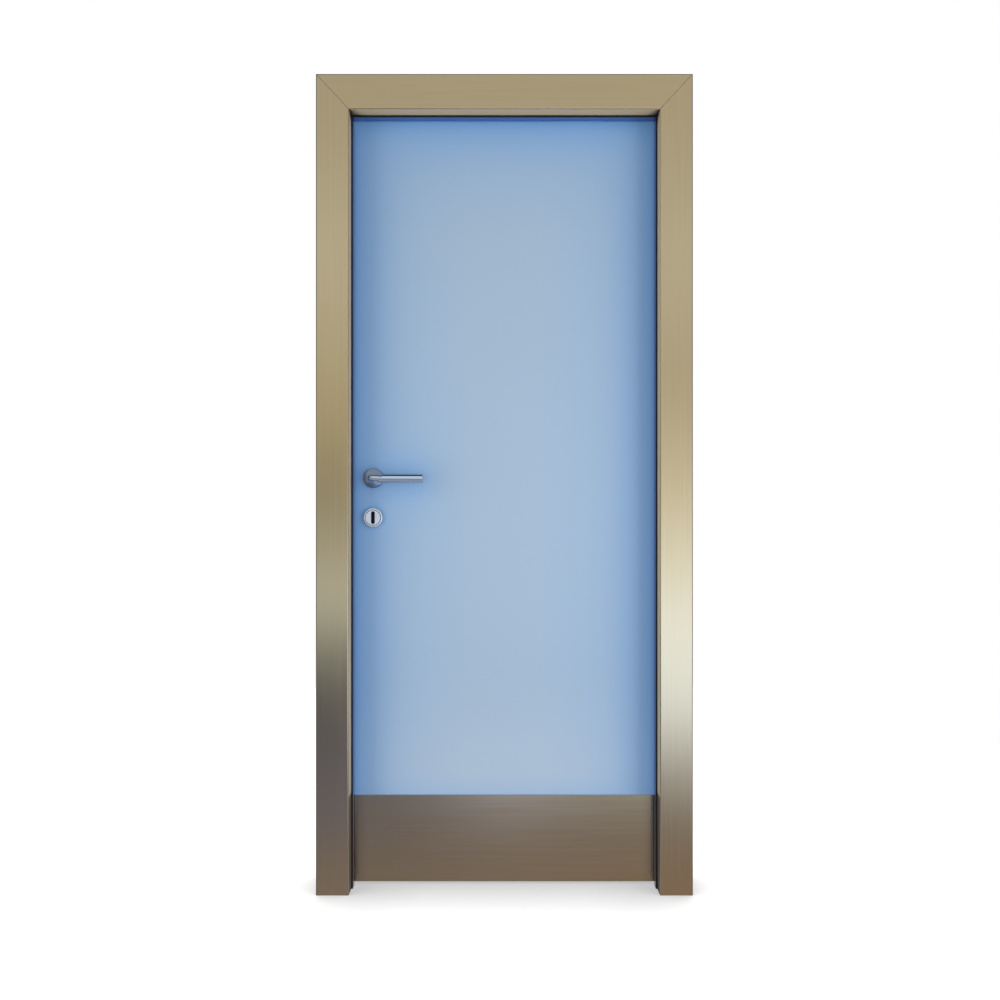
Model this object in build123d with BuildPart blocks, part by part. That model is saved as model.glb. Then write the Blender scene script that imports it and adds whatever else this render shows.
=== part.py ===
from build123d import *
import os

# Single-leaf hinged door in a mitred aluminium frame that clips round a wall.
# X runs towards the hinge side, +Y towards the side the leaf opens to, Z up.
# The origin is at floor level on the wall face of the hinge jamb, halfway through the frame.

# Doorway as seen from the push side, between the front casings
clear_width = 802.0
clear_height = 2026.0
frame_depth = 106.0

# Casings: extruded cover profiles with a lip to the wall and a tongue into the jamb
casing_leg_face = 85.0
casing_head_face = 91.0
casing_wall = 2.0
casing_lip = 13.0
casing_return = 34.0
casing_tongue = 14.0
front_edge_radius = 3.0
back_edge_radius = 1.8
casing_mitre_gap = 0.8
mitre_key_inset = 4.0
mitre_key_thickness = 1.5
inner_mitre_gap = 0.4

# Stop, the gasket in front of it and the bulb seal behind it
stop_step = 4.3
stop_width = 15.8
stop_depth = 19.5
stop_wall = 2.0
stop_edge_radius = 0.8
gasket_depth = 2.0
seal_foot_width = 9.0
seal_foot_depth = 1.4
seal_bulb_radius = 2.7
seal_bulb_wall = 1.0
seal_inset = 3.0
seal_clearance = 0.3

# Jamb profile with open chambers that take the casing tongues
jamb_width = 17.5
rebate_wall = 4.0
jamb_wall = 2.0
jamb_web_spacing = 40.0
fixing_hole_radius = 3.25
fixing_floor_height = 150.0
fixing_head_inset = 86.0
fixing_spacing = 490.0

# Leaf: core, laminate faces and edge bands
leaf_thickness = 44.0
hinge_gap = 5.0
latch_gap = 7.0
head_gap = 5.0
floor_gap = 6.5
laminate = 1.0
edge_band = 2.0
kick_height = 230.0
kick_thickness = 1.2
kick_overlap = 2.0
kick_edge_radius = 0.9

# Mortise lock, with the lever axis above the key slot
backset = 58.0
lever_height = 1076.5
lock_centres = 104.5
lock_case_depth = 90.0
lock_case_thickness = 16.0
lock_case_margin = 42.0
lock_pocket_clearance = 0.25
faceplate_width = 20.0
faceplate_margin = 22.5
faceplate_thickness = 3.0
bolt_thickness = 11.0
bolt_height = 30.0
bolt_clearance = 0.3
dead_bolt_rise = 26.0
strike_width = 24.0
strike_margin = 10.0
strike_thickness = 2.0
strike_window_clearance = 3.0

# Roses and lever
rose_radius = 26.0
rose_thickness = 9.0
rose_dome = 3.5
rose_edge_radius = 1.6
escutcheon_thickness = 8.0
escutcheon_disc_radius = 19.4
escutcheon_groove_width = 2.2
escutcheon_groove_depth = 2.5
escutcheon_rim_radius = 2.6
key_slot_width = 10.0
key_slot_height = 34.0
neck_radius = 8.5
neck_bend_radius = 12.0
neck_clearance = 0.05
neck_foot_gap = 0.5
lever_projection = 50.0
lever_reach = 136.5
grip_radius = 11.8
grip_drop = 1.5
grip_start_low = 15.0
grip_start_high = 36.0
grip_start_radius = 2.8
grip_end_radius = 1.5
cap_length = 9.0
cap_groove_width = 1.4
cap_groove_depth = 0.8
spindle_side = 8.0
spindle_bite = 30.0
spindle_clearance = 0.05
spindle_hole_radius = 6.0
spindle_passage_radius = 10.0

# Lift-off butt hinges with the knuckle on the pull side
hinge_inset = 242.5
hinge_length = 100.0
hinge_wing = 2.0
hinge_wing_width = 36.0
hinge_wing_setback = 3.0
hinge_corner_radius = 6.0
hinge_knuckle_radius = 7.0
hinge_knuckle_standoff = 9.0
hinge_pin_radius = 4.0
hinge_pin_clearance = 0.05
hinge_half_gap = 0.5
hinge_button = 3.0

# Places worked out from the sizes above
clear_half = clear_width / 2
stop_half = clear_half - stop_step
rebate_half = stop_half + stop_width
wall_half = rebate_half + jamb_width
casing_half = clear_half + casing_leg_face
kick_half = stop_half + kick_overlap
centre_x = -wall_half
front_y = -frame_depth / 2
back_y = frame_depth / 2
return_end_y = front_y + casing_return
stop_front_y = return_end_y + gasket_depth
stop_back_y = stop_front_y + stop_depth
leaf_back_y = back_y
leaf_front_y = leaf_back_y - leaf_thickness
leaf_mid_y = (leaf_front_y + leaf_back_y) / 2
rebate_z = clear_height - stop_step + stop_width
casing_top_z = clear_height + casing_head_face
leaf_top_z = rebate_z - head_gap
rebate_u = stop_width - stop_step
tongue_u = rebate_u + rebate_wall
wall_u = rebate_u + jamb_width
latch_edge_x = centre_x - rebate_half + latch_gap
hinge_edge_x = centre_x + rebate_half - hinge_gap
lever_x = latch_edge_x + backset
hinge_axis_x = hinge_edge_x + hinge_gap / 2
hinge_axis_y = leaf_back_y + hinge_knuckle_standoff
key_height = lever_height - lock_centres
lock_mid_z = (lever_height + key_height) / 2
lock_case_height = lock_centres + 2 * lock_case_margin
faceplate_height = lock_case_height + 2 * faceplate_margin
strike_height = lock_case_height + 2 * strike_margin
bolt_heights = (lever_height, key_height + dead_bolt_rise)
hinge_low_z = floor_gap + hinge_inset
hinge_high_z = leaf_top_z - hinge_inset
hinge_heights = (hinge_low_z, (hinge_low_z + hinge_high_z) / 2, hinge_high_z)
fixing_high_z = clear_height - fixing_head_inset
fixing_heights = (
    fixing_floor_height,
    fixing_floor_height + fixing_spacing,
    fixing_high_z - fixing_spacing,
    fixing_high_z,
)

# Profiles are drawn with u outwards from the clear opening and v through the wall
leg_plane = Plane(origin=(centre_x + clear_half, 0, 0), x_dir=(1, 0, 0), z_dir=(0, 0, 1))
head_plane = Plane(origin=(centre_x, 0, clear_height), x_dir=(0, 0, 1), z_dir=(-1, 0, 0))
door_middle = Plane(origin=(centre_x, 0, 0), z_dir=(1, 0, 0))
leaf_middle = Plane(origin=(0, leaf_mid_y, 0), z_dir=(0, 1, 0))
casing_mitre = Plane(
    origin=(centre_x + clear_half, 0, clear_height),
    z_dir=(-casing_head_face, 0, casing_leg_face),
)
jamb_mitre = Plane(origin=(centre_x + rebate_half, 0, rebate_z), z_dir=(-1, 0, 1))

pieces = {}


def rectangle_between(u_low, u_high, v_low, v_high, mode=Mode.ADD):
    """A rectangle in the active sketch, given by its sides."""
    with Locations(((u_low + u_high) / 2, (v_low + v_high) / 2)):
        Rectangle(u_high - u_low, v_high - v_low, mode=mode)


def box_between(x_low, x_high, y_low, y_high, z_low, z_high, mode=Mode.ADD):
    """A block in the active part, given by its sides."""
    with Locations(((x_low + x_high) / 2, (y_low + y_high) / 2, (z_low + z_high) / 2)):
        Box(x_high - x_low, y_high - y_low, z_high - z_low, mode=mode)


def front_casing_section(face):
    """Face, outer lip, tongue and the return that lines the doorway."""
    inside = front_y + casing_wall
    with BuildSketch() as section:
        with BuildLine():
            Polyline(
                (0, front_y),
                (face, front_y),
                (face, front_y + casing_lip),
                (face - casing_wall, front_y + casing_lip),
                (face - casing_wall, inside),
                (tongue_u + casing_wall, inside),
                (tongue_u + casing_wall, front_y + casing_tongue),
                (tongue_u, front_y + casing_tongue),
                (tongue_u, inside),
                (casing_wall, inside),
                (casing_wall, return_end_y),
                (0, return_end_y),
                close=True,
            )
        make_face()
        fillet(section.vertices().group_by(Axis.Y)[0], front_edge_radius)
    return section.sketch


def back_casing_section(face):
    """Face from the rebate outwards, with its lip and tongue, on the pull side."""
    inside = back_y - casing_wall
    with BuildSketch() as section:
        with BuildLine():
            Polyline(
                (rebate_u, back_y),
                (face, back_y),
                (face, back_y - casing_lip),
                (face - casing_wall, back_y - casing_lip),
                (face - casing_wall, inside),
                (tongue_u + casing_wall, inside),
                (tongue_u + casing_wall, back_y - casing_tongue),
                (tongue_u, back_y - casing_tongue),
                (tongue_u, inside),
                (rebate_u, inside),
                close=True,
            )
        make_face()
        fillet(section.vertices().group_by(Axis.Y)[-1], back_edge_radius)
    return section.sketch


def jamb_section():
    """Jamb between the casing faces: a thick rebate wall, a wall face and two webs."""
    web = jamb_web_spacing / 2
    chamber_u = wall_u - jamb_wall
    with BuildSketch() as section:
        rectangle_between(rebate_u, wall_u, front_y + casing_wall, back_y - casing_wall)
        rectangle_between(tongue_u, chamber_u, front_y, -web - jamb_wall, Mode.SUBTRACT)
        rectangle_between(tongue_u, chamber_u, -web, web, Mode.SUBTRACT)
        rectangle_between(tongue_u, chamber_u, web + jamb_wall, back_y, Mode.SUBTRACT)
    return section.sketch


def stop_section():
    """Hollow stop planted on the rebate wall."""
    with BuildSketch() as section:
        rectangle_between(-stop_step, rebate_u, stop_front_y, stop_back_y)
        fillet(section.vertices().group_by(Axis.X)[0], stop_edge_radius)
        rectangle_between(
            stop_wall - stop_step,
            rebate_u - stop_wall,
            stop_front_y + stop_wall,
            stop_back_y - stop_wall,
            Mode.SUBTRACT,
        )
    return section.sketch


def gasket_section():
    """Flat gasket that the casing return presses on the front of the stop."""
    with BuildSketch() as section:
        rectangle_between(-stop_step, casing_wall, return_end_y, stop_front_y)
    return section.sketch


def seal_section():
    """Tubular seal on the back of the stop, just clear of the closed leaf."""
    seal_u = seal_inset - stop_step
    bulb_v = leaf_front_y - seal_clearance - seal_bulb_radius
    with BuildSketch() as section:
        rectangle_between(seal_u, seal_u + seal_foot_width, stop_back_y, stop_back_y + seal_foot_depth)
        with Locations((seal_u + seal_foot_width / 2, bulb_v)):
            Circle(seal_bulb_radius)
            Circle(seal_bulb_radius - seal_bulb_wall, mode=Mode.SUBTRACT)
    return section.sketch


def mitred_set(name, leg_section, head_section, mitre, gap):
    """Two legs and a head of one profile, cut to meet at the mitre planes."""
    with BuildPart() as right:
        with BuildSketch(leg_plane):
            add(leg_section)
        extrude(amount=casing_top_z)
        split(bisect_by=mitre.offset(-gap / 2), keep=Keep.BOTTOM)
    with BuildPart() as half_head:
        with BuildSketch(head_plane):
            add(head_section)
        extrude(amount=-casing_half)
        split(bisect_by=mitre.offset(gap / 2), keep=Keep.TOP)
    with BuildPart() as head:
        add(half_head.part)
        mirror(half_head.part, about=door_middle)
    with BuildPart() as left:
        mirror(right.part, about=door_middle)
    pieces[name + "_right"] = right.part
    pieces[name + "_head"] = head.part
    pieces[name + "_left"] = left.part


mitred_set(
    "front_casing",
    front_casing_section(casing_leg_face),
    front_casing_section(casing_head_face),
    casing_mitre,
    casing_mitre_gap,
)
mitred_set(
    "back_casing",
    back_casing_section(casing_leg_face),
    back_casing_section(casing_head_face),
    casing_mitre,
    casing_mitre_gap,
)
mitred_set("jamb", jamb_section(), jamb_section(), jamb_mitre, inner_mitre_gap)
mitred_set("stop", stop_section(), stop_section(), jamb_mitre, inner_mitre_gap)
mitred_set("front_gasket", gasket_section(), gasket_section(), jamb_mitre, inner_mitre_gap)
mitred_set("door_seal", seal_section(), seal_section(), jamb_mitre, inner_mitre_gap)

# Mitre keys: a plate on the head that laps behind the leg at each corner of both casings
key_low_u = wall_u + mitre_key_inset
for side, wall_y, key_y in (
    ("front", front_y + casing_wall, front_y + casing_wall + mitre_key_thickness),
    ("back", back_y - casing_wall, back_y - casing_wall - mitre_key_thickness),
):
    with BuildPart() as mitre_key:
        box_between(
            centre_x + clear_half + key_low_u,
            centre_x + casing_half - casing_wall - mitre_key_inset,
            min(wall_y, key_y),
            max(wall_y, key_y),
            clear_height + key_low_u,
            casing_top_z - casing_wall - mitre_key_inset,
        )
    with BuildPart() as casing_head:
        add(pieces[side + "_casing_head"])
        add(mitre_key.part)
        mirror(mitre_key.part, about=door_middle)
    pieces[side + "_casing_head"] = casing_head.part

# Screw holes through the rebate of both jambs into the wall
fixing_points = [(leaf_mid_y, height) for height in fixing_heights]
with BuildPart() as jamb_right:
    add(pieces["jamb_right"])
    with BuildSketch(Plane.YZ):
        with Locations(*fixing_points):
            Circle(fixing_hole_radius)
    extrude(amount=-jamb_width, mode=Mode.SUBTRACT)
pieces["jamb_right"] = jamb_right.part

# The latch jamb is the mirrored hinge jamb with the strike let into its rebate wall
strike_face_x = centre_x - rebate_half
strike_back_x = strike_face_x - strike_thickness
with BuildPart() as jamb_left:
    mirror(jamb_right.part, about=door_middle)
    box_between(
        strike_back_x,
        strike_face_x,
        leaf_mid_y - strike_width / 2,
        leaf_mid_y + strike_width / 2,
        lock_mid_z - strike_height / 2,
        lock_mid_z + strike_height / 2,
        Mode.SUBTRACT,
    )
    for height in bolt_heights:
        with Locations((strike_face_x - rebate_wall / 2, leaf_mid_y, height)):
            Box(
                rebate_wall,
                bolt_thickness + strike_window_clearance,
                bolt_height + strike_window_clearance,
                mode=Mode.SUBTRACT,
            )
pieces["jamb_left"] = jamb_left.part

with BuildPart() as strike_plate:
    with BuildSketch(Plane(origin=(strike_back_x, leaf_mid_y, 0), x_dir=(0, 1, 0), z_dir=(1, 0, 0))):
        with Locations((0, lock_mid_z)):
            Rectangle(strike_width, strike_height)
        for height in bolt_heights:
            with Locations((0, height)):
                Rectangle(
                    bolt_thickness + strike_window_clearance,
                    bolt_height + strike_window_clearance,
                    mode=Mode.SUBTRACT,
                )
    extrude(amount=strike_thickness)
pieces["strike_plate"] = strike_plate.part

# Leaf core with a mortise for the lock and passages for spindle and key
core_front_y = leaf_front_y + laminate
core_back_y = leaf_back_y - laminate
face_plane = Plane(origin=(lever_x, leaf_front_y, 0), x_dir=(1, 0, 0), z_dir=(0, -1, 0))
faceplate_back_x = latch_edge_x + faceplate_thickness
lock_back_x = latch_edge_x + lock_case_depth
faceplate_low_z = lock_mid_z - faceplate_height / 2
faceplate_high_z = lock_mid_z + faceplate_height / 2

with BuildSketch(face_plane) as leaf_passages:
    with Locations((0, lever_height)):
        Circle(spindle_passage_radius)
    with Locations((0, key_height)):
        SlotOverall(key_slot_height, key_slot_width, rotation=90)

with BuildPart() as leaf_core:
    box_between(
        latch_edge_x + edge_band,
        hinge_edge_x - edge_band,
        core_front_y,
        core_back_y,
        floor_gap,
        leaf_top_z,
    )
    box_between(
        latch_edge_x,
        faceplate_back_x,
        leaf_mid_y - faceplate_width / 2,
        leaf_mid_y + faceplate_width / 2,
        faceplate_low_z,
        faceplate_high_z,
        Mode.SUBTRACT,
    )
    box_between(
        latch_edge_x,
        lock_back_x + lock_pocket_clearance,
        leaf_mid_y - lock_case_thickness / 2 - lock_pocket_clearance,
        leaf_mid_y + lock_case_thickness / 2 + lock_pocket_clearance,
        lock_mid_z - lock_case_height / 2 - lock_pocket_clearance,
        lock_mid_z + lock_case_height / 2 + lock_pocket_clearance,
        Mode.SUBTRACT,
    )
    extrude(leaf_passages.sketch, amount=-leaf_thickness, mode=Mode.SUBTRACT)
pieces["leaf_core"] = leaf_core.part

with BuildPart() as leaf_front_face:
    box_between(latch_edge_x, hinge_edge_x, leaf_front_y, core_front_y, floor_gap, leaf_top_z)
    extrude(leaf_passages.sketch, amount=-laminate, mode=Mode.SUBTRACT)
pieces["leaf_front_face"] = leaf_front_face.part

with BuildPart() as leaf_back_face:
    mirror(leaf_front_face.part, about=leaf_middle)
pieces["leaf_back_face"] = leaf_back_face.part

with BuildPart() as hinge_edge_band:
    box_between(
        hinge_edge_x - edge_band,
        hinge_edge_x,
        core_front_y,
        core_back_y,
        floor_gap,
        leaf_top_z,
    )
pieces["hinge_edge_band"] = hinge_edge_band.part

with BuildPart() as latch_edge_band:
    box_between(
        latch_edge_x,
        latch_edge_x + edge_band,
        core_front_y,
        core_back_y,
        floor_gap,
        leaf_top_z,
    )
    box_between(
        latch_edge_x,
        latch_edge_x + edge_band,
        leaf_mid_y - faceplate_width / 2,
        leaf_mid_y + faceplate_width / 2,
        faceplate_low_z,
        faceplate_high_z,
        Mode.SUBTRACT,
    )
pieces["latch_edge_band"] = latch_edge_band.part

with BuildPart() as kick_plate_front:
    box_between(
        centre_x - kick_half,
        centre_x + kick_half,
        leaf_front_y - kick_thickness,
        leaf_front_y,
        floor_gap,
        floor_gap + kick_height,
    )
    fillet(kick_plate_front.faces().sort_by(Axis.Y)[0].edges(), kick_edge_radius)
pieces["kick_plate_front"] = kick_plate_front.part

with BuildPart() as kick_plate_back:
    mirror(kick_plate_front.part, about=leaf_middle)
pieces["kick_plate_back"] = kick_plate_back.part

# Lock case with its two bolts drawn in, flush with the faceplate
with BuildPart() as lock_case:
    box_between(
        faceplate_back_x,
        lock_back_x,
        leaf_mid_y - lock_case_thickness / 2,
        leaf_mid_y + lock_case_thickness / 2,
        lock_mid_z - lock_case_height / 2,
        lock_mid_z + lock_case_height / 2,
    )
    for height in bolt_heights:
        with Locations((latch_edge_x + faceplate_thickness / 2, leaf_mid_y, height)):
            Box(faceplate_thickness, bolt_thickness, bolt_height)
    with BuildSketch(face_plane):
        with Locations((0, lever_height)):
            Circle(spindle_hole_radius)
    extrude(amount=-leaf_thickness, mode=Mode.SUBTRACT)
pieces["lock_case"] = lock_case.part

with BuildPart() as lock_faceplate:
    with BuildSketch(Plane(origin=(latch_edge_x, leaf_mid_y, 0), x_dir=(0, 1, 0), z_dir=(1, 0, 0))):
        with Locations((0, lock_mid_z)):
            Rectangle(faceplate_width, faceplate_height)
        for height in bolt_heights:
            with Locations((0, height)):
                Rectangle(
                    bolt_thickness + 2 * bolt_clearance,
                    bolt_height + 2 * bolt_clearance,
                    mode=Mode.SUBTRACT,
                )
    extrude(amount=faceplate_thickness)
pieces["lock_faceplate"] = lock_faceplate.part

# Round domed rose that the lever neck turns in
dome_radius = (rose_radius**2 + rose_dome**2) / (2 * rose_dome)
rose_axis = Axis((lever_x, leaf_front_y, lever_height), (0, -1, 0))
turning_plane = Plane(origin=(lever_x, leaf_front_y, lever_height), x_dir=(1, 0, 0), z_dir=(0, 0, -1))
with BuildPart() as rose_front:
    with BuildSketch(turning_plane) as rose_profile:
        rectangle_between(neck_radius + neck_clearance, rose_radius, 0, rose_thickness)
        with Locations((0, rose_thickness - dome_radius)):
            Circle(dome_radius, mode=Mode.INTERSECT)
        fillet(rose_profile.vertices().group_by(Axis.X)[-1].sort_by(Axis.Y)[-1:], rose_edge_radius)
    revolve(axis=rose_axis)
pieces["rose_front"] = rose_front.part

with BuildPart() as rose_back:
    mirror(rose_front.part, about=leaf_middle)
pieces["rose_back"] = rose_back.part

# Key escutcheon: a rim, a groove and a slotted disc
groove_outer = escutcheon_disc_radius + escutcheon_groove_width
with BuildPart() as escutcheon_front:
    with BuildSketch(face_plane):
        with Locations((0, key_height)):
            Circle(rose_radius)
    extrude(amount=escutcheon_thickness)
    fillet(escutcheon_front.faces().sort_by(Axis.Y)[0].edges(), escutcheon_rim_radius)
    with BuildSketch(face_plane.offset(escutcheon_thickness)):
        with Locations((0, key_height)):
            Circle(groove_outer)
            Circle(escutcheon_disc_radius, mode=Mode.SUBTRACT)
    extrude(amount=-escutcheon_groove_depth, mode=Mode.SUBTRACT)
    with BuildSketch(face_plane):
        with Locations((0, key_height)):
            SlotOverall(key_slot_height, key_slot_width, rotation=90)
    extrude(amount=escutcheon_thickness, mode=Mode.SUBTRACT)
pieces["escutcheon_front"] = escutcheon_front.part

with BuildPart() as escutcheon_back:
    mirror(escutcheon_front.part, about=leaf_middle)
pieces["escutcheon_back"] = escutcheon_back.part

# Lever: a round bar bent towards the hinge side, falling a little to a thicker grip cut on the slant
grip_y = leaf_front_y - lever_projection
grip_z = lever_height - grip_drop
neck_foot_y = leaf_front_y - neck_foot_gap
slant = Plane(
    origin=(lever_x + (grip_start_low + grip_start_high) / 2, grip_y, grip_z),
    z_dir=(2 * grip_radius, 0, grip_start_low - grip_start_high),
)
with BuildPart() as grip:
    with BuildSketch(Plane(origin=(lever_x, grip_y, grip_z), x_dir=(0, 1, 0), z_dir=(1, 0, 0))):
        Circle(grip_radius)
    extrude(amount=lever_reach)
    fillet(grip.faces().sort_by(Axis.X)[-1].edges(), grip_end_radius)
    with BuildSketch(
        Plane(
            origin=(lever_x + lever_reach - cap_length, grip_y, grip_z),
            x_dir=(0, 1, 0),
            z_dir=(1, 0, 0),
        )
    ):
        Circle(grip_radius)
        Circle(grip_radius - cap_groove_depth, mode=Mode.SUBTRACT)
    extrude(amount=cap_groove_width, mode=Mode.SUBTRACT)
    split(bisect_by=slant, keep=Keep.TOP)
    fillet(grip.faces().sort_by(Axis.X)[0].edges(), grip_start_radius)

with BuildPart() as lever_front:
    with BuildLine() as bar_path:
        FilletPolyline(
            (lever_x, neck_foot_y, lever_height),
            (lever_x, grip_y, lever_height),
            (lever_x + grip_start_high + grip_radius, grip_y, grip_z),
            radius=neck_bend_radius,
        )
    with BuildSketch(Plane(origin=(lever_x, neck_foot_y, lever_height), z_dir=(0, -1, 0))):
        Circle(neck_radius)
    sweep(path=bar_path.line)
    add(grip.part)
    with BuildSketch(Plane(origin=(lever_x, neck_foot_y, lever_height), z_dir=(0, -1, 0))):
        Rectangle(spindle_side + 2 * spindle_clearance, spindle_side + 2 * spindle_clearance)
    extrude(amount=spindle_bite, mode=Mode.SUBTRACT)
pieces["lever_front"] = lever_front.part

with BuildPart() as lever_back:
    mirror(lever_front.part, about=leaf_middle)
pieces["lever_back"] = lever_back.part

spindle_half = leaf_mid_y - neck_foot_y + spindle_bite
with BuildPart() as spindle:
    with Locations((lever_x, leaf_mid_y, lever_height)):
        Box(spindle_side, 2 * spindle_half, spindle_side)
pieces["spindle"] = spindle.part


def hinge_half(wing_low_x, wing_high_x, low_z, knuckle_low_z, knuckle_high_z):
    """A flat wing in the leaf gap with its own half of the knuckle."""
    wing_back_y = leaf_back_y - hinge_wing_setback
    with BuildPart() as half:
        box_between(
            wing_low_x,
            wing_high_x,
            wing_back_y - hinge_wing_width,
            wing_back_y,
            low_z,
            low_z + hinge_length,
        )
        fillet(half.edges().filter_by(Axis.X).group_by(Axis.Y)[0], hinge_corner_radius)
        box_between(wing_low_x, wing_high_x, wing_back_y, hinge_axis_y, knuckle_low_z, knuckle_high_z)
        with BuildSketch(Plane(origin=(hinge_axis_x, hinge_axis_y, knuckle_low_z))):
            Circle(hinge_knuckle_radius)
        extrude(amount=knuckle_high_z - knuckle_low_z)
        with BuildSketch(Plane(origin=(hinge_axis_x, hinge_axis_y, knuckle_low_z))):
            Circle(hinge_pin_radius + hinge_pin_clearance)
        extrude(amount=knuckle_high_z - knuckle_low_z, mode=Mode.SUBTRACT)
    return half.part


for place, middle_z in zip(("lower", "middle", "upper"), hinge_heights):
    low_z = middle_z - hinge_length / 2
    high_z = middle_z + hinge_length / 2
    rebate_x = centre_x + rebate_half
    pieces["hinge_frame_half_" + place] = hinge_half(
        rebate_x - hinge_wing, rebate_x, low_z, low_z, middle_z - hinge_half_gap / 2
    )
    pieces["hinge_leaf_half_" + place] = hinge_half(
        hinge_edge_x, hinge_edge_x + hinge_wing, low_z, middle_z + hinge_half_gap / 2, high_z
    )
    with BuildPart() as hinge_pin:
        with BuildSketch(Plane(origin=(hinge_axis_x, hinge_axis_y, low_z))):
            Circle(hinge_pin_radius)
        extrude(amount=hinge_length)
        with BuildSketch(Plane(origin=(hinge_axis_x, hinge_axis_y, low_z))):
            Circle(hinge_knuckle_radius)
        extrude(amount=-hinge_button)
    pieces["hinge_pin_" + place] = hinge_pin.part

os.makedirs("parts", exist_ok=True)
for name, piece in pieces.items():
    piece.label = name
    export_step(piece, "parts/" + name + ".step")
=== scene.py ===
import math

import bmesh
import bpy
from mathutils import Matrix, Vector


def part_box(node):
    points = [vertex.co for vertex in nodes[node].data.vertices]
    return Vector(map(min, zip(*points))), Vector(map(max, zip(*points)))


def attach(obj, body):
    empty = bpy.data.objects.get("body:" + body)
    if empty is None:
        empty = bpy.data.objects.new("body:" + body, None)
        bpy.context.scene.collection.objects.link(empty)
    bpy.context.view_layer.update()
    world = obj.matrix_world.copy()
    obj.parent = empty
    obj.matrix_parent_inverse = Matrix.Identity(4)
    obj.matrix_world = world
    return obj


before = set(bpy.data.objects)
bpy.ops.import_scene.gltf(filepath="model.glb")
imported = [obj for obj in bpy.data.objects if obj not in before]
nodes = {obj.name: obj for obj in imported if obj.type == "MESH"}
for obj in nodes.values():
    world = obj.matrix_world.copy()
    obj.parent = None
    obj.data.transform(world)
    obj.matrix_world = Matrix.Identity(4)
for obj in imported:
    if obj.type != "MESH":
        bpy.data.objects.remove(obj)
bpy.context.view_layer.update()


# Casings, jambs and stops: extruded aluminium profiles, mitred at the corners and clipped round the
# wall. They are brushed along their length, then anodised to a bronze tone and left satin.
def linear(hex_colour):
    """An sRGB hex colour as linear RGBA."""
    channels = [int(hex_colour[i : i + 2], 16) / 255 for i in (1, 3, 5)]
    return [c / 12.92 if c <= 0.04045 else ((c + 0.055) / 1.055) ** 2.4 for c in channels] + [1.0]


def add_node(tree, kind, settings=None, **links):
    """A node with its settings, whose inputs take a value or another node's output.

    An input goes by its name, or by i and its number where inputs share a name.
    """
    node = tree.nodes.new(kind)
    for key, value in (settings or {}).items():
        setattr(node, key, value)
    for key, value in links.items():
        numbered = key[0] == "i" and key[1:].isdigit()
        socket = node.inputs[int(key[1:]) if numbered else key.replace("_", " ")]
        if isinstance(value, bpy.types.NodeSocket):
            tree.links.new(value, socket)
        else:
            socket.default_value = value
    return node


def finish_for(name):
    """A new material, with its node tree and its principled shader."""
    material = bpy.data.materials.new(name)
    material.use_nodes = True
    return material, material.node_tree, material.node_tree.nodes["Principled BSDF"]


def dress(material, *names):
    """Give CAD nodes one finish."""
    for name in names:
        nodes[name].data.materials.clear()
        nodes[name].data.materials.append(material)


# Bronze anodising: a warm satin metal whose fine brush lines run along the bar. The lines are about
# 0.4 mm apart on the real bar and drawn 3 mm apart, because finer ones don't show.
bronze_light = "#B3A381"
bronze_deep = "#AF9F7D"
brush_spacing = 0.003
brush_length = 0.25
brush_depth = 0.0002
brush_low, brush_high = 0.3, 0.7
satin_spread = 0.02


def anodised(name, along, roughness, light, deep):
    """Aluminium brushed along one axis of the part and anodised."""
    material, tree, shader = finish_for(name)
    stretch = [1 / brush_length if axis == along else 1 / brush_spacing for axis in "XYZ"]
    place = add_node(tree, "ShaderNodeTexCoord")
    lines = add_node(tree, "ShaderNodeMapping", Vector=place.outputs["Object"], Scale=stretch)
    brushing = add_node(
        tree, "ShaderNodeTexNoise", Vector=lines.outputs["Vector"], Scale=1.0, Detail=3.0
    )
    tone = add_node(tree, "ShaderNodeValToRGB", Fac=brushing.outputs["Fac"])
    tone.color_ramp.elements[0].position = brush_low
    tone.color_ramp.elements[0].color = linear(deep)
    tone.color_ramp.elements[1].position = brush_high
    tone.color_ramp.elements[1].color = linear(light)
    satin = add_node(
        tree,
        "ShaderNodeMapRange",
        Value=brushing.outputs["Fac"],
        To_Min=roughness - satin_spread,
        To_Max=roughness + satin_spread,
    )
    relief = add_node(
        tree, "ShaderNodeBump", Height=brushing.outputs["Fac"], Strength=0.02, Distance=brush_depth
    )
    tree.links.new(tone.outputs["Color"], shader.inputs["Base Color"])
    tree.links.new(satin.outputs["Result"], shader.inputs["Roughness"])
    tree.links.new(relief.outputs["Normal"], shader.inputs["Normal"])
    shader.inputs["Metallic"].default_value = 1.0
    return material, tree, shader, tone, satin


# The returns are matt, and their paler tone is a painted reflection of the room. Painted shade darkens
# them in the corners, and on the push side a painted dark reflection of the kick plate browns them
# beside it. Painted shade makes the rounded outer edge of a casing darker than its face.
bronze_matt_reflection = "#C2AF90"
bronze_kick_reflection = "#5D524B"
bronze_corner_shade = "#2A231E"
bronze_edge_shade = "#5F5745"
face_roughness = 0.16
return_roughness = 0.5
corner_reach = 0.04
corner_shade_full, corner_clear = 0.55, 0.8
kick_reflection_rise = 0.016
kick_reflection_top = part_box("kick_plate_front")[1][2] + kick_reflection_rise
no_kick_reflection = 0.0
# How far a surface faces out of the wall: a return is below the first share, a face above the second.
return_share, face_share = 0.15, 0.5
# How far a surface faces away from the middle of the door, in metres: painted shade darkens the outer
# edge between.
edge_start, edge_full = 0.08, 0.22
door_middle = (-0.43, 0, 1.0)


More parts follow.
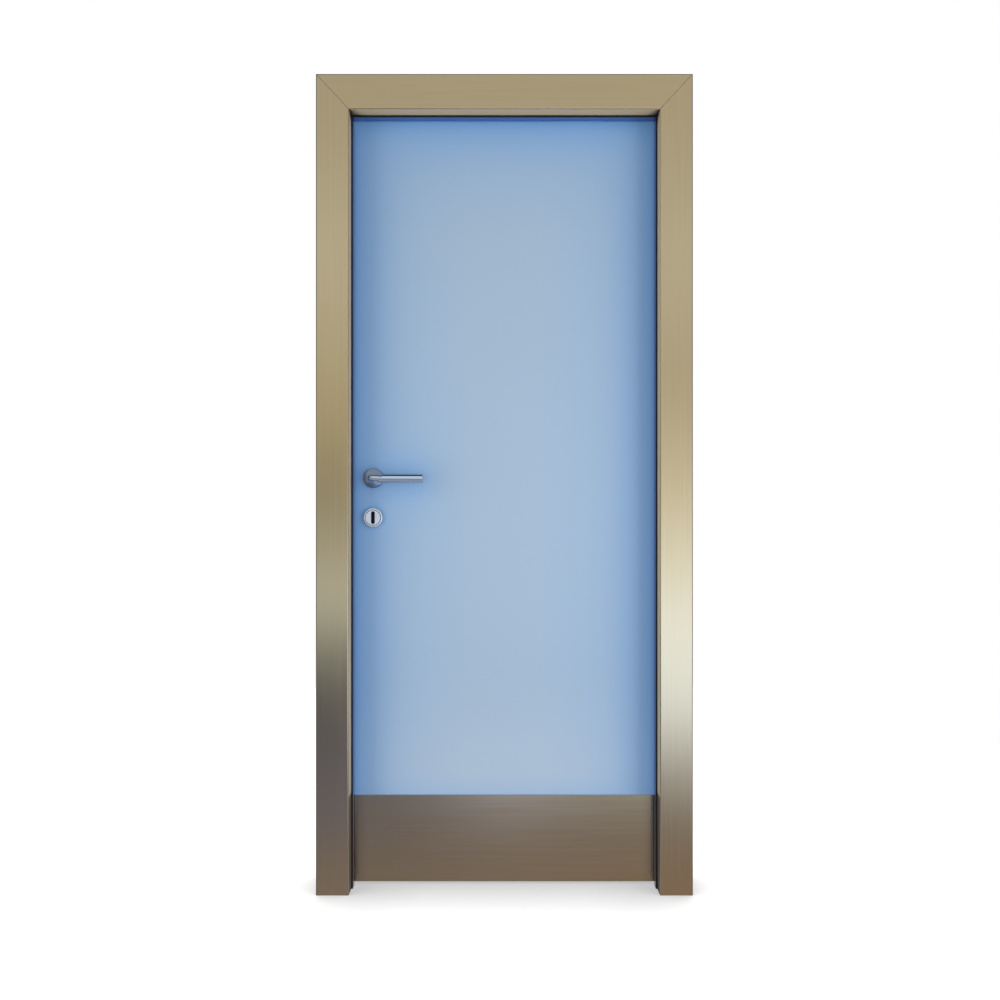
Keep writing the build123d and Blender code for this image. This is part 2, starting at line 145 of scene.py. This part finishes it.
def anodised_profile(name, along, kick_reflection_below):
    """Bronze profile: brushed on the faces, matt on the returns and lips, with painted shade and
    reflection.
    """
    material, tree, shader, tone, satin = anodised(
        name, along, face_roughness, bronze_light, bronze_deep
    )
    place = add_node(tree, "ShaderNodeTexCoord")
    facing = add_node(tree, "ShaderNodeSeparateXYZ", Vector=place.outputs["Normal"])
    outward = add_node(tree, "ShaderNodeMath", {"operation": "ABSOLUTE"}, i0=facing.outputs["Y"])
    brushed = add_node(
        tree,
        "ShaderNodeMapRange",
        Value=outward.outputs["Value"],
        From_Min=return_share,
        From_Max=face_share,
    )
    # Painted dark reflection of the kick plate: the returns turn brown below this height.
    spot = add_node(tree, "ShaderNodeSeparateXYZ", Vector=place.outputs["Object"])
    above_kick_reflection = add_node(
        tree, "ShaderNodeMath", {"operation": "GREATER_THAN"}, i0=spot.outputs["Z"], i1=kick_reflection_below
    )
    # The paler matt tone of the returns is a painted reflection of the room.
    matt = add_node(
        tree,
        "ShaderNodeMix",
        {"data_type": "RGBA"},
        i0=above_kick_reflection.outputs["Value"],
        i6=linear(bronze_kick_reflection),
        i7=linear(bronze_matt_reflection),
    )
    # Painted shade: the returns darken where AO finds a corner.
    corner = add_node(tree, "ShaderNodeAmbientOcclusion", {"samples": 8}, Distance=corner_reach)
    reached = add_node(
        tree,
        "ShaderNodeMapRange",
        Value=corner.outputs["AO"],
        From_Min=corner_shade_full,
        From_Max=corner_clear,
    )
    corner_shaded = add_node(
        tree,
        "ShaderNodeMix",
        {"data_type": "RGBA"},
        i0=reached.outputs["Result"],
        i6=linear(bronze_corner_shade),
        i7=matt.outputs[2],
    )
    # Painted shade on the rounded outer edge, which faces away from the middle of the door.
    from_middle = add_node(
        tree,
        "ShaderNodeVectorMath",
        {"operation": "SUBTRACT"},
        i0=place.outputs["Object"],
        i1=door_middle,
    )
    lean = add_node(
        tree,
        "ShaderNodeVectorMath",
        {"operation": "DOT_PRODUCT"},
        i0=place.outputs["Normal"],
        i1=from_middle.outputs[0],
    )
    outer_edge = add_node(
        tree,
        "ShaderNodeMapRange",
        Value=lean.outputs["Value"],
        From_Min=edge_start,
        From_Max=edge_full,
    )
    face = add_node(
        tree,
        "ShaderNodeMix",
        {"data_type": "RGBA"},
        i0=outer_edge.outputs["Result"],
        i6=tone.outputs["Color"],
        i7=linear(bronze_edge_shade),
    )
    skin = add_node(
        tree,
        "ShaderNodeMix",
        {"data_type": "RGBA"},
        i0=brushed.outputs["Result"],
        i6=corner_shaded.outputs[2],
        i7=face.outputs[2],
    )
    sheen = add_node(
        tree,
        "ShaderNodeMix",
        i0=brushed.outputs["Result"],
        i2=return_roughness,
        i3=satin.outputs["Result"],
    )
    tree.links.new(skin.outputs[2], shader.inputs["Base Color"])
    tree.links.new(sheen.outputs[0], shader.inputs["Roughness"])
    tree.links.new(brushed.outputs["Result"], shader.inputs["Metallic"])
    return material


bronze_kick_reflection_upright = anodised_profile("bronze_anodised_kick_reflection_upright", "Z", kick_reflection_top)
dress(bronze_kick_reflection_upright, "front_casing_left", "front_casing_right")
bronze_upright = anodised_profile("bronze_anodised_upright", "Z", no_kick_reflection)
dress(bronze_upright, "back_casing_left", "back_casing_right", "jamb_left", "jamb_right")
bronze_level = anodised_profile("bronze_anodised_level", "X", no_kick_reflection)
dress(bronze_level, "front_casing_head", "back_casing_head", "jamb_head")

# The stops are polished and mirror the leaf beside them; their cool blue tone is a painted reflection
# of the leaf.
stop_leaf_reflection_light = "#8A9AC6"
stop_leaf_reflection_deep = "#8292BE"
stop_roughness = 0.1
stop_upright = anodised("polished_anodised_upright", "Z", stop_roughness, stop_leaf_reflection_light, stop_leaf_reflection_deep)[0]
dress(stop_upright, "stop_left", "stop_right")
stop_level = anodised("polished_anodised_level", "X", stop_roughness, stop_leaf_reflection_light, stop_leaf_reflection_deep)[0]
dress(stop_level, "stop_head")


# Gaskets and door seals: black extruded rubber, pressed between the return and the stop and along the
# back of the stop. Matt, with a fine mottle.
rubber_black = "#0B0B0C"
rubber_grey = "#191919"
mottle_size = 0.004
rubber, tree, shader = finish_for("black_extruded_rubber")
place = add_node(tree, "ShaderNodeTexCoord")
mottle = add_node(
    tree, "ShaderNodeTexNoise", Vector=place.outputs["Object"], Scale=1 / mottle_size, Detail=4.0
)
tone = add_node(tree, "ShaderNodeValToRGB", Fac=mottle.outputs["Fac"])
tone.color_ramp.elements[0].color = linear(rubber_black)
tone.color_ramp.elements[1].color = linear(rubber_grey)
relief = add_node(tree, "ShaderNodeBump", Height=mottle.outputs["Fac"], Strength=0.2, Distance=0.0002)
tree.links.new(tone.outputs["Color"], shader.inputs["Base Color"])
tree.links.new(relief.outputs["Normal"], shader.inputs["Normal"])
shader.inputs["Roughness"].default_value = 0.75
shader.inputs["IOR"].default_value = 1.52
for side in ("left", "right", "head"):
    dress(rubber, "front_gasket_" + side, "door_seal_" + side)


# Strike plate, hinges, faceplate and spindle: stainless steel, brushed to a satin. All but the spindle
# are held by countersunk cross-recessed screws.
steel_light = "#CFCFCE"
steel_deep = "#BDBDBB"
steel_grain = 0.002
steel_grain_length = 0.05
steel_sharp, steel_soft = 0.26, 0.36
satin_steel, tree, shader = finish_for("satin_brushed_stainless_steel")
place = add_node(tree, "ShaderNodeTexCoord")
lines = add_node(
    tree,
    "ShaderNodeMapping",
    Vector=place.outputs["Object"],
    Scale=(1 / steel_grain, 1 / steel_grain, 1 / steel_grain_length),
)
brushing = add_node(tree, "ShaderNodeTexNoise", Vector=lines.outputs["Vector"], Scale=1.0, Detail=3.0)
tone = add_node(tree, "ShaderNodeValToRGB", Fac=brushing.outputs["Fac"])
tone.color_ramp.elements[0].color = linear(steel_deep)
tone.color_ramp.elements[1].color = linear(steel_light)
satin = add_node(
    tree,
    "ShaderNodeMapRange",
    Value=brushing.outputs["Fac"],
    To_Min=steel_sharp,
    To_Max=steel_soft,
)
relief = add_node(
    tree, "ShaderNodeBump", Height=brushing.outputs["Fac"], Strength=0.08, Distance=0.0002
)
tree.links.new(tone.outputs["Color"], shader.inputs["Base Color"])
tree.links.new(satin.outputs["Result"], shader.inputs["Roughness"])
tree.links.new(relief.outputs["Normal"], shader.inputs["Normal"])
shader.inputs["Metallic"].default_value = 1.0
for place_name in ("lower", "middle", "upper"):
    dress(
        satin_steel,
        "hinge_frame_half_" + place_name,
        "hinge_leaf_half_" + place_name,
        "hinge_pin_" + place_name,
    )
dress(satin_steel, "strike_plate", "lock_faceplate", "spindle")

# Screws: countersunk heads set flush, each a shallow disc with a cross recess.
screw_radius = 0.0038
screw_proud = 0.0003
screw_sides = 24
recess_half_width = 0.0005
recess_half_length = 0.0022
recess_depth = 0.8 * screw_proud
recess_cuts = (-recess_half_length, -recess_half_width, recess_half_width, recess_half_length)
top_share = 0.9


def screws(name, body, points, outward):
    """Screw heads as one piece, on a flat face whose normal is outward."""
    heads = bmesh.new()
    for point in points:
        head = bmesh.new()
        bmesh.ops.create_cone(
            head,
            cap_ends=True,
            segments=screw_sides,
            radius1=screw_radius,
            radius2=screw_radius - screw_proud,
            depth=screw_proud,
            matrix=Matrix.Translation((0, 0, screw_proud / 2)),
        )
        for normal in ((1, 0, 0), (0, 1, 0)):
            for offset in recess_cuts:
                bmesh.ops.bisect_plane(
                    head,
                    geom=[f for f in head.faces if f.normal.z > top_share]
                    + [e for e in head.edges if all(v.co.z > screw_proud * top_share for v in e.verts)],
                    plane_co=Vector(normal) * offset,
                    plane_no=normal,
                )
        cross = []
        for face in head.faces:
            if face.normal.z > top_share:
                x, y, _ = face.calc_center_median()
                inside = max(abs(x), abs(y)) < recess_half_length
                if inside and min(abs(x), abs(y)) < recess_half_width:
                    cross.append(face)
        sunk = bmesh.ops.extrude_face_region(head, geom=cross)
        bmesh.ops.delete(head, geom=cross, context="FACES_ONLY")
        bmesh.ops.translate(
            head,
            verts=[v for v in sunk["geom"] if isinstance(v, bmesh.types.BMVert)],
            vec=(0, 0, -recess_depth),
        )
        turn = Vector((0, 0, 1)).rotation_difference(Vector(outward)).to_matrix().to_4x4()
        bmesh.ops.transform(head, matrix=Matrix.Translation(point) @ turn, verts=head.verts)
        mesh = bpy.data.meshes.new(name)
        head.to_mesh(mesh)
        head.free()
        heads.from_mesh(mesh)
        bpy.data.meshes.remove(mesh)
    bmesh.ops.recalc_face_normals(heads, faces=heads.faces)
    mesh = bpy.data.meshes.new(name)
    heads.to_mesh(mesh)
    heads.free()
    mesh.materials.append(satin_steel)
    piece = bpy.data.objects.new(name, mesh)
    bpy.context.scene.collection.objects.link(piece)
    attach(piece, body)


hinge_screw_rise = 0.034
hinge_screw_stagger = 0.006
wing_thickness = 0.002
wing_half_width = 0.018
frame_wing_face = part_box("jamb_right")[0][0] - wing_thickness
leaf_wing_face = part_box("hinge_edge_band")[1][0] + wing_thickness
for place_name in ("lower", "middle", "upper"):
    for half, wing_face, outward in (
        ("frame", frame_wing_face, (-1, 0, 0)),
        ("leaf", leaf_wing_face, (1, 0, 0)),
    ):
        low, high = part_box("hinge_" + half + "_half_" + place_name)
        wing_mid_y = low[1] + wing_half_width
        mid_z = (low[2] + high[2]) / 2
        points = [
            (wing_face, wing_mid_y - hinge_screw_stagger, mid_z - hinge_screw_rise),
            (wing_face, wing_mid_y + hinge_screw_stagger, mid_z),
            (wing_face, wing_mid_y - hinge_screw_stagger, mid_z + hinge_screw_rise),
        ]
        screws("hinge_" + half + "_screws_" + place_name, half, points, outward)

plate_screw_inset = 0.011
low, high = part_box("strike_plate")
lock_mid_y = (low[1] + high[1]) / 2
screw_heights = (low[2] + plate_screw_inset, high[2] - plate_screw_inset)
screws("strike_plate_screws", "frame", [(high[0], lock_mid_y, z) for z in screw_heights], (1, 0, 0))
low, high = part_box("lock_faceplate")
screw_heights = (low[2] + plate_screw_inset, high[2] - plate_screw_inset)
screws("lock_faceplate_screws", "leaf", [(low[0], lock_mid_y, z) for z in screw_heights], (-1, 0, 0))


# Leaf: a light board core between two sheets of pale blue laminate, edged with plastic bands.
# The core shows as raw chipboard at the top and bottom edges, and is painted black with shade in the
# passages of the lock.
chip_dark = "#8A6E48"
chip_pale = "#B8996B"
chip_passage_shade = "#0A0908"
chip_size = 0.006
passage_reach = 0.03
passage_shade_full, passage_lit = 0.3, 0.6
chipboard, tree, shader = finish_for("raw_chipboard")
place = add_node(tree, "ShaderNodeTexCoord")
chips = add_node(tree, "ShaderNodeTexVoronoi", Vector=place.outputs["Object"], Scale=1 / chip_size)
tone = add_node(tree, "ShaderNodeValToRGB", Fac=chips.outputs["Distance"])
tone.color_ramp.elements[0].color = linear(chip_pale)
tone.color_ramp.elements[1].color = linear(chip_dark)
relief = add_node(
    tree, "ShaderNodeBump", Height=chips.outputs["Distance"], Strength=0.4, Distance=0.0005
)
# Painted shade: the chipboard turns black where AO finds the passages of the lock.
depth = add_node(tree, "ShaderNodeAmbientOcclusion", {"samples": 8}, Distance=passage_reach)
lit = add_node(
    tree,
    "ShaderNodeMapRange",
    Value=depth.outputs["AO"],
    From_Min=passage_shade_full,
    From_Max=passage_lit,
)
board = add_node(
    tree,
    "ShaderNodeMix",
    {"data_type": "RGBA"},
    i0=lit.outputs["Result"],
    i6=linear(chip_passage_shade),
    i7=tone.outputs["Color"],
)
tree.links.new(board.outputs[2], shader.inputs["Base Color"])
tree.links.new(relief.outputs["Normal"], shader.inputs["Normal"])
shader.inputs["Roughness"].default_value = 0.85
shader.inputs["IOR"].default_value = 1.5
dress(chipboard, "leaf_core")

# High-pressure laminate, pressed with a fine pebble: a soft sheen, pale blue where light reaches it
# freely and a deeper blue painted as shade in the shelter of the frame and the fittings. The foot is
# painted paler, as light thrown up by the white floor.
blue_open = "#A5BDD5"
blue_painted_shade = "#75A8E0"
pebble_size = 0.0025
pebble_depth = 0.0003
pebble_spread = 0.04
laminate_roughness = 0.45
edging_roughness = 0.38
shelter_reach = 0.3
# How open a spot is, and its share of the open blue.
shelter_steps = ((0.5, 0.0), (0.9, 0.48), (1.0, 1.0))
foot_floor_light_gain = (1.19, 1.12, 1.075, 1.0)
foot_floor_light_low, foot_floor_light_high = 0.22, 0.6


def blue_laminate(name, roughness):
    """Pale blue laminate with a pebbled sheen, painted shade where sheltered and painted light at the
    foot.
    """
    material, tree, shader = finish_for(name)
    place = add_node(tree, "ShaderNodeTexCoord")
    pebble = add_node(
        tree, "ShaderNodeTexNoise", Vector=place.outputs["Object"], Scale=1 / pebble_size, Detail=2.0
    )
    relief = add_node(
        tree, "ShaderNodeBump", Height=pebble.outputs["Fac"], Strength=0.06, Distance=pebble_depth
    )
    satin = add_node(
        tree,
        "ShaderNodeMapRange",
        Value=pebble.outputs["Fac"],
        To_Min=roughness - pebble_spread,
        To_Max=roughness + pebble_spread,
    )
    # Painted shade: a deeper blue where AO finds the frame and the fittings.
    shelter = add_node(tree, "ShaderNodeAmbientOcclusion", {"samples": 16}, Distance=shelter_reach)
    tone = add_node(tree, "ShaderNodeValToRGB", Fac=shelter.outputs["AO"])
    sheltered, exposed = linear(blue_painted_shade), linear(blue_open)
    stops = tone.color_ramp.elements
    stops.new(shelter_steps[1][0])
    for stop, (position, share) in zip(stops, shelter_steps):
        stop.position = position
        stop.color = [a + share * (b - a) for a, b in zip(sheltered, exposed)]
    # Painted light at the foot: paler towards the floor, as if lit from the white floor.
    spot = add_node(tree, "ShaderNodeSeparateXYZ", Vector=place.outputs["Object"])
    foot = add_node(
        tree,
        "ShaderNodeMapRange",
        {"interpolation_type": "SMOOTHSTEP"},
        Value=spot.outputs["Z"],
        From_Min=foot_floor_light_low,
        From_Max=foot_floor_light_high,
        To_Min=1.0,
        To_Max=0.0,
    )
    foot_floor_lit = add_node(
        tree,
        "ShaderNodeMix",
        {"data_type": "RGBA", "blend_type": "MULTIPLY"},
        i0=foot.outputs["Result"],
        i6=tone.outputs["Color"],
        i7=foot_floor_light_gain,
    )
    tree.links.new(foot_floor_lit.outputs[2], shader.inputs["Base Color"])
    tree.links.new(satin.outputs["Result"], shader.inputs["Roughness"])
    tree.links.new(relief.outputs["Normal"], shader.inputs["Normal"])
    shader.inputs["IOR"].default_value = 1.5
    return material


dress(blue_laminate("pale_blue_laminate", laminate_roughness), "leaf_front_face", "leaf_back_face")
dress(blue_laminate("blue_plastic_edging", edging_roughness), "hinge_edge_band", "latch_edge_band")


# Kick plates: thin sheets of bronze anodised aluminium, a shade deeper than the frame, brushed across
# and bonded to both faces. They are painted darker at the sides, as shade where the frame shelters
# them.
plate_light = "#AB9C7B"
plate_deep = "#A79877"
plate_side_shade = "#9A8C6E"
plate_roughness = 0.17
side_shade_width = 0.04
low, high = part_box("kick_plate_front")
plate_middle = (low[0] + high[0]) / 2
plate_half_width = (high[0] - low[0]) / 2
plate, tree, shader, tone, _ = anodised(
    "bronze_anodised_plate", "X", plate_roughness, plate_light, plate_deep
)
place = add_node(tree, "ShaderNodeTexCoord")
spot = add_node(tree, "ShaderNodeSeparateXYZ", Vector=place.outputs["Object"])
# Painted shade: darker towards the sides of the plate.
inward = add_node(
    tree, "ShaderNodeMath", {"operation": "SUBTRACT"}, i0=spot.outputs["X"], i1=plate_middle
)
aside = add_node(tree, "ShaderNodeMath", {"operation": "ABSOLUTE"}, i0=inward.outputs["Value"])
side_shaded = add_node(
    tree,
    "ShaderNodeMapRange",
    {"interpolation_type": "SMOOTHSTEP"},
    Value=aside.outputs["Value"],
    From_Min=plate_half_width - side_shade_width,
    From_Max=plate_half_width,
)
skin = add_node(
    tree,
    "ShaderNodeMix",
    {"data_type": "RGBA"},
    i0=side_shaded.outputs["Result"],
    i6=tone.outputs["Color"],
    i7=linear(plate_side_shade),
)
tree.links.new(skin.outputs[2], shader.inputs["Base Color"])
dress(plate, "kick_plate_front", "kick_plate_back")


# Lock: a black painted steel case in the leaf, seen only through the key slots and the spindle hole.
paint_black = "#060607"
paint_worn = "#121213"
black_paint, tree, shader = finish_for("black_painted_steel")
place = add_node(tree, "ShaderNodeTexCoord")
mottle = add_node(
    tree, "ShaderNodeTexNoise", Vector=place.outputs["Object"], Scale=1 / mottle_size, Detail=3.0
)
tone = add_node(tree, "ShaderNodeValToRGB", Fac=mottle.outputs["Fac"])
tone.color_ramp.elements[0].color = linear(paint_black)
tone.color_ramp.elements[1].color = linear(paint_worn)
tree.links.new(tone.outputs["Color"], shader.inputs["Base Color"])
shader.inputs["Roughness"].default_value = 0.6
shader.inputs["IOR"].default_value = 1.5
dress(black_paint, "lock_case")


# Levers and roses: plated brass castings, held on the spindle and screwed to the leaf from behind. The
# levers are mirror-bright chrome, the roses a darker satin nickel that greys what it reflects. Faint
# handling smears change how sharp the reflection is.
chrome_light = "#BDCBD8"
chrome_deep = "#B3C1CE"
rose_light = "#7D8A99"
rose_deep = "#6D7A8A"
smear_size = 0.02
for finish, light, deep, sharp, soft, fitting in (
    ("polished_chrome_plate", chrome_light, chrome_deep, 0.03, 0.07, "lever"),
    ("dark_satin_nickel_plate", rose_light, rose_deep, 0.22, 0.3, "rose"),
):
    plating, tree, shader = finish_for(finish)
    place = add_node(tree, "ShaderNodeTexCoord")
    smears = add_node(
        tree, "ShaderNodeTexNoise", Vector=place.outputs["Object"], Scale=1 / smear_size, Detail=5.0
    )
    tone = add_node(tree, "ShaderNodeValToRGB", Fac=smears.outputs["Fac"])
    tone.color_ramp.elements[0].color = linear(deep)
    tone.color_ramp.elements[1].color = linear(light)
    polish = add_node(
        tree, "ShaderNodeMapRange", Value=smears.outputs["Fac"], To_Min=sharp, To_Max=soft
    )
    tree.links.new(tone.outputs["Color"], shader.inputs["Base Color"])
    tree.links.new(polish.outputs["Result"], shader.inputs["Roughness"])
    shader.inputs["Metallic"].default_value = 1.0
    dress(plating, fitting + "_front", fitting + "_back")


# Key escutcheons: turned covers with a rim, a groove and a slotted disc, nickel plated to a satin.
# The groove is painted a darker grey, as shade in the hollow.
nickel_light = "#D3D8DF"
nickel_deep = "#C6CCD4"
nickel_groove_shade = "#565E68"
nickel_grain = 0.0015
nickel_sharp, nickel_soft = 0.2, 0.28
groove_reach = 0.004
groove_shade_full, groove_clear = 0.35, 0.9
nickel, tree, shader = finish_for("satin_nickel_plate")
place = add_node(tree, "ShaderNodeTexCoord")
grain = add_node(
    tree, "ShaderNodeTexNoise", Vector=place.outputs["Object"], Scale=1 / nickel_grain, Detail=3.0
)
tone = add_node(tree, "ShaderNodeValToRGB", Fac=grain.outputs["Fac"])
tone.color_ramp.elements[0].color = linear(nickel_deep)
tone.color_ramp.elements[1].color = linear(nickel_light)
satin = add_node(
    tree,
    "ShaderNodeMapRange",
    Value=grain.outputs["Fac"],
    To_Min=nickel_sharp,
    To_Max=nickel_soft,
)
# Painted shade: the nickel greys where AO finds the groove.
hollow = add_node(
    tree, "ShaderNodeAmbientOcclusion", {"samples": 8, "only_local": True}, Distance=groove_reach
)
groove_open = add_node(
    tree,
    "ShaderNodeMapRange",
    Value=hollow.outputs["AO"],
    From_Min=groove_shade_full,
    From_Max=groove_clear,
)
plated = add_node(
    tree,
    "ShaderNodeMix",
    {"data_type": "RGBA"},
    i0=groove_open.outputs["Result"],
    i6=linear(nickel_groove_shade),
    i7=tone.outputs["Color"],
)
tree.links.new(plated.outputs[2], shader.inputs["Base Color"])
tree.links.new(satin.outputs["Result"], shader.inputs["Roughness"])
shader.inputs["Metallic"].default_value = 1.0
dress(nickel, "escutcheon_front", "escutcheon_back")


# Floor: a wide white studio floor. It glows a little for the camera, less where the door shades it, so
# that it stays white around a painted soft shadow, and it isn't mirrored in the metal.
floor_white = 0.4
floor_glow = 0.84
shaded_glow = 0.44
floor_radius = 2.4
floor_drop = 0.0005
shade_reach = 0.2
shade_full = 0.55
floor_mesh = bpy.data.meshes.new("studio_floor")
disc = bmesh.new()
bmesh.ops.create_circle(
    disc,
    cap_ends=True,
    segments=96,
    radius=floor_radius,
    matrix=Matrix.Translation((door_middle[0], 0, -floor_drop)),
)
disc.to_mesh(floor_mesh)
disc.free()
floor = bpy.data.objects.new("studio_floor", floor_mesh)
bpy.context.scene.collection.objects.link(floor)
floor.visible_glossy = False
white_floor, tree, shader = finish_for("white_studio_floor")
shader.inputs["Base Color"].default_value = (floor_white, floor_white, floor_white, 1)
shader.inputs["Roughness"].default_value = 1.0
shader.inputs["Specular IOR Level"].default_value = 0.0
shader.inputs["Emission Color"].default_value = (1, 1, 1, 1)
rays = add_node(tree, "ShaderNodeLightPath")
# Painted shadow: the glow drops where AO finds the door.
shade = add_node(tree, "ShaderNodeAmbientOcclusion", {"samples": 8}, Distance=shade_reach)
open_floor = add_node(
    tree,
    "ShaderNodeMapRange",
    Value=shade.outputs["AO"],
    From_Min=shade_full,
    To_Min=shaded_glow,
    To_Max=floor_glow,
)
glow = add_node(
    tree,
    "ShaderNodeMath",
    {"operation": "MULTIPLY"},
    i0=rays.outputs["Is Camera Ray"],
    i1=open_floor.outputs["Result"],
)
tree.links.new(glow.outputs["Value"], shader.inputs["Emission Strength"])
floor_mesh.materials.append(white_floor)


# Studio: even white light all round. In the metal the room shows as a pale ceiling with a dark middle,
# grey walls, a low strip of cool light that is stronger on the hinge side, a dark floor, and a patch of
# daylight low in front of the door. Heights run from 0, straight down, to 1, straight up.
world = bpy.data.worlds.new("studio")
bpy.context.scene.world = world
world.use_nodes = True
tree = world.node_tree
tree.nodes.clear()
even_level = 0.325
latch_side_room = (
    (0.0, (0.5, 0.5, 0.53)),
    (0.2, (0.45, 0.43, 0.44)),
    (0.28, (0.42, 0.37, 0.38)),
    (0.32, (0.26, 0.28, 0.52)),
    (0.375, (0.11, 0.12, 0.18)),
    (0.402, (0.28, 0.33, 0.42)),
    (0.437, (1.15, 1.32, 1.55)),
    (0.47, (0.75, 0.8, 0.85)),
    (0.51, (0.55, 0.54, 0.48)),
    (0.55, (0.85, 0.83, 0.74)),
    (0.59, (0.94, 0.94, 0.92)),
    (0.65, (1.08, 1.14, 1.22)),
    (0.735, (0.76, 0.76, 0.75)),
    (0.82, (1.3, 1.35, 1.4)),
    (0.89, (0.4, 0.42, 0.45)),
    (0.94, (0.03, 0.04, 0.05)),
)
hinge_side_room = (
    (0.0, (0.5, 0.5, 0.53)),
    (0.2, (0.45, 0.43, 0.44)),
    (0.28, (0.47, 0.355, 0.31)),
    (0.315, (0.265, 0.235, 0.255)),
    (0.35, (0.95, 1.1, 1.5)),
    (0.37, (1.75, 2.15, 3.1)),
    (0.42, (1.95, 2.35, 3.3)),
    (0.45, (1.75, 2.0, 2.5)),
    (0.5, (1.33, 1.39, 1.45)),
    (0.57, (0.9, 0.9, 0.9)),
    (0.65, (1.06, 1.12, 1.18)),
    (0.735, (0.8, 0.8, 0.78)),
    (0.82, (1.3, 1.35, 1.4)),
    (0.89, (0.4, 0.42, 0.45)),
    (0.94, (0.03, 0.04, 0.05)),
)
room_blend = 0.22
side_wall = (0.5, 0.52, 0.55, 1.0)
side_wall_start, side_wall_full = 0.5, 0.8
patch_middle = (0.01, -0.962, -0.27)
patch_radius = 0.12
patch_level = (1.1, 1.3, 2.5, 1.0)
direction = add_node(tree, "ShaderNodeTexCoord")
parts = add_node(tree, "ShaderNodeSeparateXYZ", Vector=direction.outputs["Generated"])
height = add_node(
    tree, "ShaderNodeMapRange", Value=parts.outputs["Z"], From_Min=-1.0, From_Max=1.0
)
across = add_node(
    tree,
    "ShaderNodeMapRange",
    {"interpolation_type": "SMOOTHSTEP"},
    Value=parts.outputs["X"],
    From_Min=-room_blend,
    From_Max=room_blend,
)
aside = add_node(tree, "ShaderNodeMath", {"operation": "ABSOLUTE"}, i0=parts.outputs["X"])
far_side = add_node(
    tree,
    "ShaderNodeMapRange",
    {"interpolation_type": "SMOOTHSTEP"},
    Value=aside.outputs["Value"],
    From_Min=side_wall_start,
    From_Max=side_wall_full,
)
walls = []
for room in (latch_side_room, hinge_side_room):
    ramp = add_node(tree, "ShaderNodeValToRGB", Fac=height.outputs["Result"])
    stops = ramp.color_ramp.elements
    while len(stops) < len(room):
        stops.new(0.5)
    for stop, (position, level) in zip(stops, room):
        stop.position = position
        stop.color = (*level, 1.0)
    walls.append(ramp.outputs["Color"])
room_seen = add_node(
    tree,
    "ShaderNodeMix",
    {"data_type": "RGBA"},
    i0=across.outputs["Result"],
    i6=walls[0],
    i7=walls[1],
)
room_whole = add_node(
    tree,
    "ShaderNodeMix",
    {"data_type": "RGBA"},
    i0=far_side.outputs["Result"],
    i6=room_seen.outputs[2],
    i7=side_wall,
)
from_patch = add_node(
    tree,
    "ShaderNodeVectorMath",
    {"operation": "DISTANCE"},
    i0=direction.outputs["Generated"],
    i1=patch_middle,
)
near_patch = add_node(
    tree,
    "ShaderNodeMapRange",
    {"interpolation_type": "SMOOTHSTEP"},
    Value=from_patch.outputs["Value"],
    From_Max=patch_radius,
    To_Min=1.0,
    To_Max=0.0,
)
room_lit = add_node(
    tree,
    "ShaderNodeMix",
    {"data_type": "RGBA", "blend_type": "ADD"},
    i0=near_patch.outputs["Result"],
    i6=room_whole.outputs[2],
    i7=patch_level,
)
mirrored = add_node(tree, "ShaderNodeBackground", Color=room_lit.outputs[2], Strength=1.0)
even = add_node(tree, "ShaderNodeBackground", Color=(1, 1, 1, 1), Strength=even_level)
white = add_node(tree, "ShaderNodeBackground", Color=(1, 1, 1, 1), Strength=1.0)
rays = add_node(tree, "ShaderNodeLightPath")
bounced = add_node(
    tree,
    "ShaderNodeMixShader",
    Fac=rays.outputs["Is Glossy Ray"],
    i1=even.outputs[0],
    i2=mirrored.outputs[0],
)
seen = add_node(
    tree,
    "ShaderNodeMixShader",
    Fac=rays.outputs["Is Camera Ray"],
    i1=bounced.outputs[0],
    i2=white.outputs[0],
)
add_node(tree, "ShaderNodeOutputWorld", Surface=seen.outputs[0])

# On either side of the door two tall soft lamps rake the leaf from the sides, and a wide one fills it.
for room_side, towards in (("push_side", -1), ("pull_side", 1)):
    for lamp_name, (x, y, z), width, tall, watts in (
        ("latch_lamp", (-2.6, 0.9, 1.0), 1.8, 2.0, 33.5),
        ("hinge_lamp", (1.6, 1.2, 1.0), 1.8, 2.0, 35.5),
        ("fill_lamp", (-0.43, 4.5, 0.8), 2.4, 1.6, 32.0),
    ):
        lamp = bpy.data.lights.new(room_side + "_" + lamp_name, "AREA")
        lamp.shape = "RECTANGLE"
        lamp.size = width
        lamp.size_y = tall
        lamp.energy = watts
        lamp_object = bpy.data.objects.new(lamp.name, lamp)
        bpy.context.scene.collection.objects.link(lamp_object)
        lamp_object.location = (x, towards * y, z)
        beam = Vector((door_middle[0], 0, z)) - lamp_object.location
        lamp_object.rotation_euler = beam.to_track_quat("-Z", "Y").to_euler()
        lamp_object.visible_glossy = False
        lamp_object.visible_camera = False


# Camera: level, square to the door and a little to the latch side of its middle.
camera_data = bpy.data.cameras.new("camera")
camera_data.sensor_width = 36.0
camera_data.lens = 27.953
camera = bpy.data.objects.new("camera", camera_data)
bpy.context.scene.collection.objects.link(camera)
camera.location = (-0.4413, -2.053, 1.0187)
camera.rotation_euler = (math.pi / 2, 0, 0)
bpy.context.scene.camera = camera
bpy.context.scene.view_settings.view_transform = "Standard"
